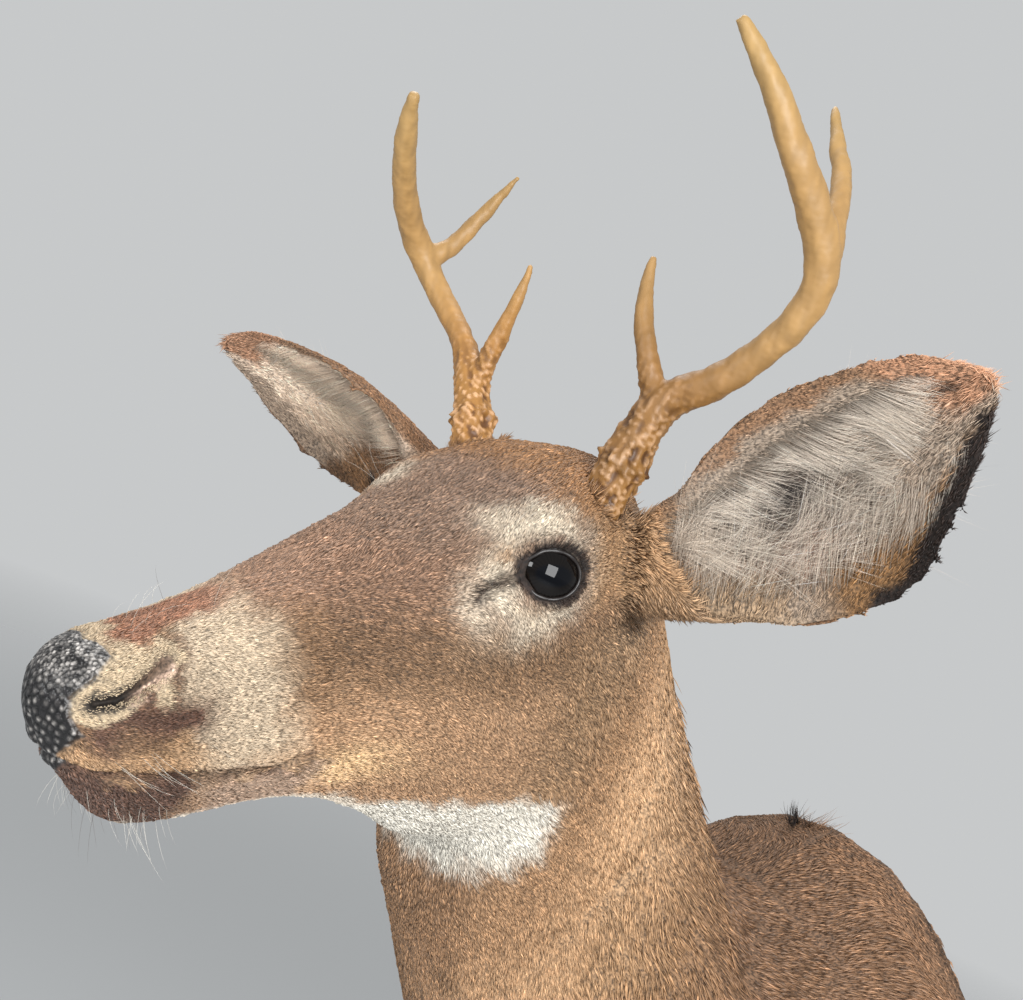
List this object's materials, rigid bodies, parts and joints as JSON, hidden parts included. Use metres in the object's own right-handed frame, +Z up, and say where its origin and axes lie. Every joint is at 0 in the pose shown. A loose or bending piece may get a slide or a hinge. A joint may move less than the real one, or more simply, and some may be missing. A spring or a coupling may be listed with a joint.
{
  "type": "deer shoulder mount",
  "caption": "Museum-style shoulder mount of a young white-tailed buck: haired head, neck and shoulders, head turned to its left, short forked antlers, on an oval plywood backboard.",
  "frame": {"origin": "middle of the backboard's rear face, on the wall", "axes": "+Y into the wall, so the deer looks out along -Y before its head turns; +X to the deer's left; +Z up"},
  "size_m": [0.4268, 0.5101, 0.7759],
  "materials": {
    "coat": "short dense grey-brown deer hair lying flat, paler on the throat, eye rings and ear linings",
    "nose": "black pebbled nose leather with a soft sheen",
    "eye": "glossy near-black glass eye with a dark brown iris",
    "antler": "satin tan antler, brown and beaded at the base, paler and smoother at the tips",
    "board": "bare sanded plywood, thin veneers showing at the edge",
    "steel": "zinc-plated steel"
  },
  "bodies": {
    "root": {"head": "coat", "lower_jaw": "coat", "neck": "coat", "trunk": "coat", "ear_left": "coat", "ear_right": "coat", "nose_pad": "nose", "eye_left": "eye", "eye_right": "eye", "antler_left_base": "antler", "antler_left_beam": "antler", "antler_left_beam_tip": "antler", "antler_left_brow_tine": "antler", "antler_left_upper_tine": "antler", "antler_right_base": "antler", "antler_right_beam": "antler", "antler_right_beam_tip": "antler", "antler_right_brow_tine": "antler", "antler_right_upper_tine": "antler", "backboard": "board", "screw_1": "steel", "screw_2": "steel", "screw_3": "steel", "screw_4": "steel", "hanger_strip": "steel"}
  },
  "joints": []
}
